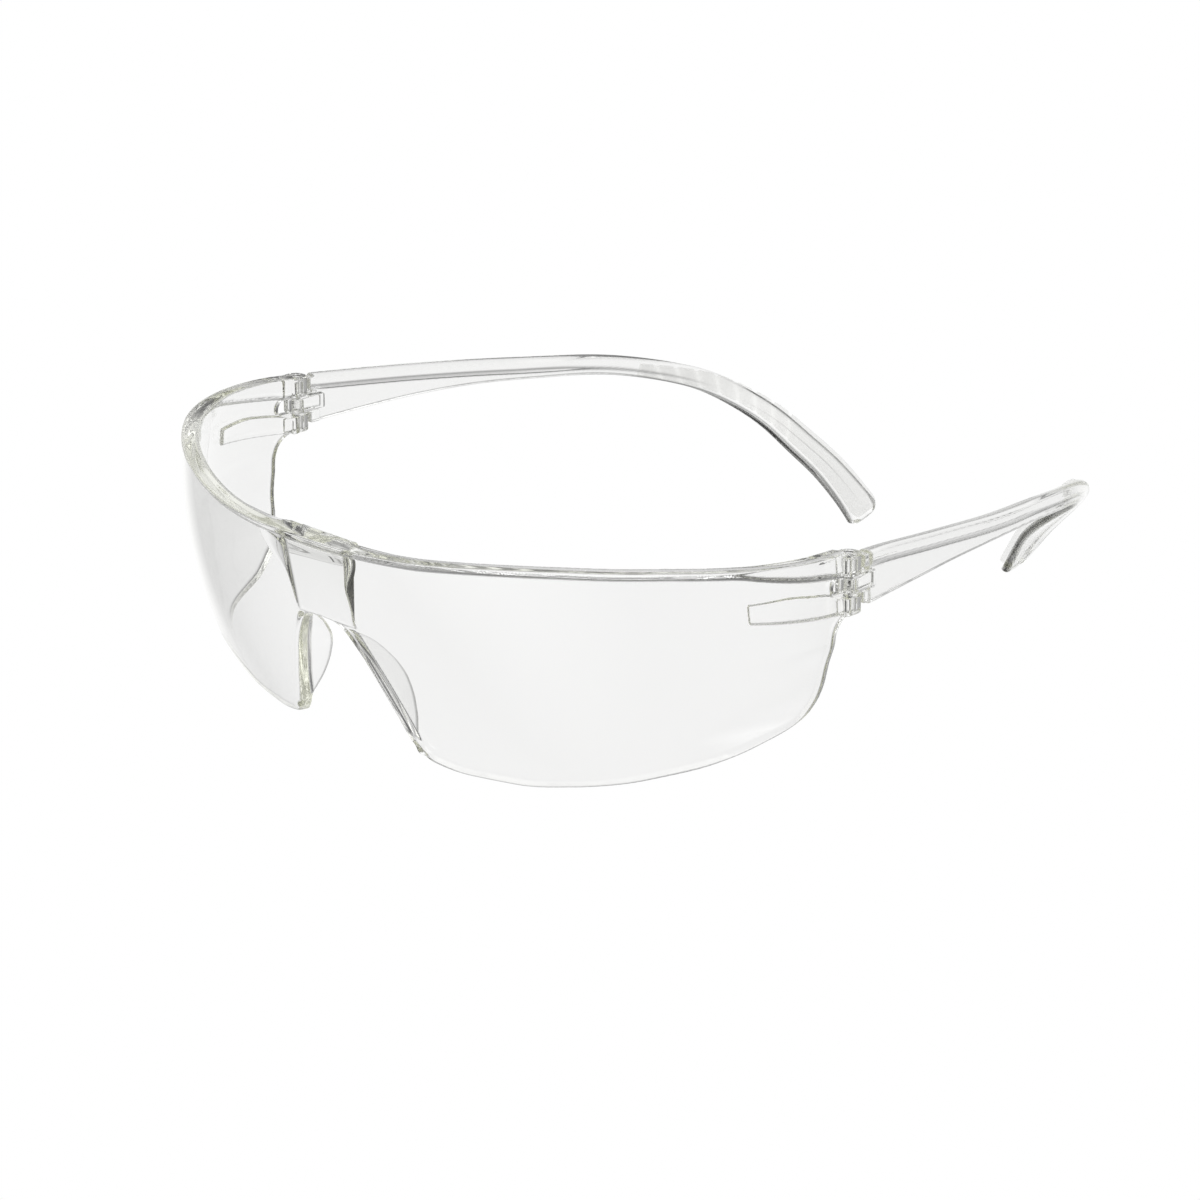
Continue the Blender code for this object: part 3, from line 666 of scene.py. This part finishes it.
def add_pin(name, material, side):
    """Turned pin with eased ends."""
    profile = [(PIN_RADIUS - PIN_EASE, PIN_BOTTOM), (PIN_RADIUS, PIN_BOTTOM + PIN_EASE),
               (PIN_RADIUS, PIN_TOP - PIN_EASE), (PIN_RADIUS - PIN_EASE, PIN_TOP)]
    turns = [2 * math.pi * i / PIN_SEGMENTS for i in range(PIN_SEGMENTS)]
    points = [(HINGE_X + radius * math.cos(turn), radius * math.sin(turn), z)
              for radius, z in profile for turn in turns]
    bottom_centre, top_centre = len(points), len(points) + 1
    points += [(HINGE_X, 0.0, PIN_BOTTOM), (HINGE_X, 0.0, PIN_TOP)]
    steps = [(i, (i + 1) % PIN_SEGMENTS) for i in range(PIN_SEGMENTS)]
    top_ring = (len(profile) - 1) * PIN_SEGMENTS
    faces = []
    for ring in range(0, top_ring, PIN_SEGMENTS):
        above = ring + PIN_SEGMENTS
        faces += [(ring + i, ring + j, above + j, above + i) for i, j in steps]
    for i, j in steps:
        faces.append((j, i, bottom_centre))
        faces.append((top_ring + i, top_ring + j, top_centre))
    mesh = bpy.data.meshes.new(name)
    mesh.from_pydata(to_frame(np.array(points), side).tolist(), [],
                     [face[::side] for face in faces])
    mesh.shade_smooth()
    mesh.set_sharp_from_angle(angle=math.radians(30))
    mesh.materials.append(material)
    return link_object(name, mesh)


# ------------------------------------------------------------------ shader tools
def fill(tree, node, inputs):
    """Set each input to its value, or link it from the given socket."""
    for key, value in inputs.items():
        if isinstance(value, bpy.types.NodeSocket):
            tree.links.new(value, node.inputs[key])
        else:
            node.inputs[key].default_value = value


def add_node(tree, kind, inputs, **settings):
    node = tree.nodes.new("ShaderNode" + kind)
    for name, value in settings.items():
        setattr(node, name, value)
    fill(tree, node, inputs)
    return node


def noise(tree, coords, scale, detail, distortion=0.0):
    return add_node(tree, "TexNoise", {"Vector": coords, "Scale": scale, "Detail": detail,
                                       "Distortion": distortion}).outputs["Fac"]


def remap(tree, value, to_min, to_max, from_min=0.0, from_max=1.0):
    return add_node(tree, "MapRange", {
        "Value": value, "From Min": from_min, "From Max": from_max,
        "To Min": to_min, "To Max": to_max}).outputs["Result"]


def mix_color(tree, factor, a, b):
    return add_node(tree, "Mix", {"Factor": factor, "A": a, "B": b},
                    data_type="RGBA").outputs["Result"]


def mix_shader(tree, factor, a, b):
    return add_node(tree, "MixShader", {"Fac": factor, 1: a, 2: b}).outputs["Shader"]


def bump(tree, strength, distance, **inputs):
    values = {"Strength": strength, "Distance": distance, **inputs}
    return add_node(tree, "Bump", values).outputs["Normal"]


# Vertex value 'edge': painted dark edge shade on the lens and temples, groove clearness on the
# grips.
def edge_shade_and_clearness(tree):
    return add_node(tree, "Attribute", {}, attribute_name="edge").outputs["Fac"]


def new_material(name):
    material = bpy.data.materials.new(name)
    material.use_nodes = True
    return material, material.node_tree


# ------------------------------------------------------------------ materials
def clear_plastic(name, roughness, haze, tint):
    """Flow waves, fine surface noise, handling haze, olive absorption with depth, and painted
    dark shade in the base colour along the edge marks.
    """
    material, tree = new_material(name)
    coords = add_node(tree, "TexCoord", {}).outputs["Object"]
    flow = noise(tree, coords, scale=55.0, detail=2.0)
    fine = noise(tree, coords, scale=900.0, detail=4.0)
    smear = noise(tree, coords, scale=140.0, detail=5.0, distortion=0.8)
    color = mix_color(tree, flow, a=(1.0, 1.0, 1.0, 1), b=(*tint, 1))
    waves = bump(tree, strength=0.04, distance=0.00008, Height=flow)
    # The base colour goes near black where the edge value is 1: painted dark shade standing in
    # for the dark refraction lines at the moulding edges.
    fill(tree, tree.nodes["Principled BSDF"], {
        "IOR": 1.585,
        "Transmission Weight": 1.0,
        "Roughness": remap(tree, smear, from_min=0.35, from_max=0.75,
                           to_min=roughness, to_max=roughness + haze),
        "Base Color": mix_color(tree, edge_shade_and_clearness(tree), a=color, b=(0.012, 0.012, 0.010, 1)),
        "Normal": bump(tree, strength=0.01, distance=0.00002, Height=fine, Normal=waves)})
    olive = add_node(tree, "VolumeAbsorption", {"Color": (0.60, 0.62, 0.25, 1), "Density": 3.6})
    fill(tree, tree.nodes["Material Output"], {"Volume": olive.outputs["Volume"]})
    return material


def grip_plastic(name):
    """Soft milky grip skin: satin surface over a part clear, part scattering body."""
    material, tree = new_material(name)
    coords = add_node(tree, "TexCoord", {}).outputs["Object"]
    mottle = noise(tree, coords, scale=260.0, detail=4.0)
    grain = noise(tree, coords, scale=2600.0, detail=3.0)
    color = mix_color(tree, mottle, a=(0.90, 0.90, 0.90, 1), b=(0.96, 0.96, 0.96, 1))
    normal = bump(tree, strength=0.12, distance=0.00003, Height=grain)
    satin = tree.nodes["Principled BSDF"]
    fill(tree, satin, {"IOR": 1.45, "Base Color": color, "Normal": normal,
                       "Roughness": remap(tree, mottle, to_min=0.38, to_max=0.55)})
    glow = add_node(tree, "BsdfTranslucent", {"Color": color, "Normal": normal})
    clear = add_node(tree, "BsdfTransparent", {"Color": (0.985, 0.985, 0.98, 1)})
    milky = mix_shader(tree, 0.5, satin.outputs["BSDF"], glow.outputs["BSDF"])
    clearness = remap(tree, edge_shade_and_clearness(tree), to_min=0.86, to_max=0.97)
    skin = mix_shader(tree, clearness, milky, clear.outputs["BSDF"])
    fill(tree, tree.nodes["Material Output"], {"Surface": skin})
    return material


lens_clear = clear_plastic("lens_clear", roughness=0.0, haze=0.015, tint=(0.995, 0.995, 0.99))
temple_clear = clear_plastic("temple_clear", roughness=0.005, haze=0.02,
                             tint=(0.995, 0.995, 0.985))
pin_clear = clear_plastic("pin_clear", roughness=0.02, haze=0.03, tint=(0.97, 0.97, 0.95))
grip_soft = grip_plastic("grip_soft")


# ------------------------------------------------------------------ pieces
def register(piece, body, replaced):
    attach(piece, body)
    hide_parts(replaced)


lens_net = net(lens_field, LENS_BOX, LENS_CELL)
# The lens carries painted dark edge shade in its base colour.
lens = add_net("visual_lens", lens_net, lens_painted_edge_shade(lens_net[0]), lens_clear)
register(lens, "front", "lens_shield")

temple_net = net(temple_field, TEMPLE_BOX, TEMPLE_CELL)
# Painted dark edge shade for the temples' base colour.
temple_painted_shade = temple_painted_edge_shade(temple_net[0])
grip_net = net(grip_field, GRIP_BOX, GRIP_CELL)
grip_marks = grip_edge(grip_net[0])
for side, label in ((1, "left"), (-1, "right")):
    body = "temple_" + label + "_body"
    temple = add_net("visual_temple_" + label, temple_net, temple_painted_shade, temple_clear, side)
    register(temple, body, "temple_" + label)
    grip = add_net("visual_grip_" + label, grip_net, grip_marks, grip_soft, side)
    register(grip, body, "temple_grip_" + label)
    pin = add_pin("visual_pin_" + label, pin_clear, side)
    register(pin, "front", "hinge_pin_" + label)

# ------------------------------------------------------------------ floor and light
# A white sweep lies straight behind the object in any view. Around it the soft light
# changes in rings, given by the angle from the line of sight, on the four sides.
RINGS = (14.0, 32.0, 55.0, 85.0, 120.0)
LIGHT = {
    "right": (1.0, 0.82, 0.46, 0.04, 0.04),
    "left": (1.0, 0.50, 0.36, 0.12, 0.80),
    "up": (1.0, 0.39, 1.10, 1.20, 1.60),
    "down": (1.0, 0.88, 0.95, 0.17, 0.01),
}
CENTRE_GUARD = 1e-6                       # keeps the four shares defined on the line of sight
FLOOR_HALF, FLOOR_Z = 4.0, -0.0006        # metres


def math_node(tree, operation, *inputs):
    return add_node(tree, "Math", dict(enumerate(inputs)), operation=operation).outputs["Value"]


def vector_node(tree, operation, inputs):
    return add_node(tree, "VectorMath", inputs, operation=operation).outputs["Vector"]


def ring_light(tree, angle, levels):
    node = add_node(tree, "ValToRGB", {"Fac": angle})
    node.color_ramp.interpolation = "LINEAR"
    stops = node.color_ramp.elements
    while len(stops) < len(RINGS):
        stops.new(0.5)
    for i, degrees in enumerate(RINGS):
        stops[i].position = degrees / 180.0
    for i, level in enumerate(levels):
        stops[i].color = (level, level, level, 1)
    return node.outputs["Color"]


def studio(tree):
    """Soft light arriving from any direction, worked out in the camera's own axes."""
    incoming = add_node(tree, "NewGeometry", {}).outputs["Incoming"]
    turned = add_node(tree, "VectorTransform", {"Vector": incoming}, vector_type="VECTOR",
                      convert_from="WORLD", convert_to="CAMERA").outputs["Vector"]
    unit = vector_node(tree, "NORMALIZE", {0: turned})
    parts = add_node(tree, "SeparateXYZ", {"Vector": unit}).outputs
    x, y, z = [math_node(tree, "MULTIPLY", parts[axis], -1.0) for axis in "XYZ"]
    held = math_node(tree, "MINIMUM", math_node(tree, "MAXIMUM", z, -1.0), 1.0)
    angle = math_node(tree, "DIVIDE", math_node(tree, "ARCCOSINE", held), math.pi)
    squares = [math_node(tree, "MULTIPLY", value, value) for value in (x, y)]
    total = math_node(tree, "ADD", math_node(tree, "ADD", *squares), CENTRE_GUARD)
    light = None
    for side, value, sign in (("right", x, 1.0), ("left", x, -1.0),
                              ("up", y, 1.0), ("down", y, -1.0)):
        part = math_node(tree, "MAXIMUM", math_node(tree, "MULTIPLY", value, sign), 0.0)
        square = math_node(tree, "MULTIPLY", part, part)
        guarded = math_node(tree, "ADD", square, CENTRE_GUARD / 4)
        share = math_node(tree, "DIVIDE", guarded, total)
        color = ring_light(tree, angle, LIGHT[side])
        scaled = vector_node(tree, "SCALE", {0: color, "Scale": share})
        light = vector_node(tree, "ADD", {0: light, 1: scaled}) if light else scaled
    return light


floor_white, floor_tree = new_material("floor_white")
floor_tree.nodes.clear()
emission = add_node(floor_tree, "Emission", {"Color": studio(floor_tree)})
add_node(floor_tree, "OutputMaterial", {"Surface": emission.outputs["Emission"]})

floor_mesh = bpy.data.meshes.new("floor")
floor_mesh.from_pydata([(x * FLOOR_HALF, y * FLOOR_HALF, FLOOR_Z)
                        for x, y in ((-1, -1), (1, -1), (1, 1), (-1, 1))], [], [(0, 1, 2, 3)])
floor_mesh.materials.append(floor_white)
link_object("floor", floor_mesh)

world = bpy.data.worlds.new("studio")
scene.world = world
world.use_nodes = True
fill(world.node_tree, world.node_tree.nodes["Background"], {"Color": studio(world.node_tree)})

# a wide, weak overhead panel adds a soft sheen to the grips and upper faces
panel_data = bpy.data.lights.new("overhead_panel", "AREA")
panel_data.shape = "SQUARE"
panel_data.size = 1.4
panel_data.energy = 1.0
link_object("overhead_panel", panel_data).location = (0.0, 0.1, 1.6)

# ------------------------------------------------------------------ camera
AZIMUTH, ELEVATION, ROLL = [math.radians(degrees) for degrees in (45.776, 19.792, -0.229)]
AIM = (3.868, 6.624, -26.947)             # field millimetres
DISTANCE = 0.8941                         # metres

back = Vector((math.sin(AZIMUTH) * math.cos(ELEVATION),
               -math.cos(AZIMUTH) * math.cos(ELEVATION), math.sin(ELEVATION)))
level_right = Vector((math.cos(AZIMUTH), math.sin(AZIMUTH), 0))
level_up = back.cross(level_right)
right = level_right * math.cos(ROLL) + level_up * math.sin(ROLL)
up = level_up * math.cos(ROLL) - level_right * math.sin(ROLL)
target = (Vector(AIM) + Vector(SHIFT)) * MM

camera_data = bpy.data.cameras.new("camera")
camera = link_object("camera", camera_data)
camera_data.sensor_width = 36.0
camera_data.lens = 150.78
camera_data.clip_start = 0.01
camera_data.clip_end = 50.0
rotation = Matrix((right, up, back)).transposed().to_4x4()
camera.matrix_world = Matrix.Translation(target + back * DISTANCE) @ rotation
scene.camera = camera

scene.view_settings.view_transform = "Standard"
scene.view_settings.look = "None"
scene.cycles.max_bounces = 96
scene.cycles.transmission_bounces = 96
scene.cycles.glossy_bounces = 96
scene.cycles.caustics_refractive = True
scene.cycles.caustics_reflective = True
scene.cycles.use_denoising = True
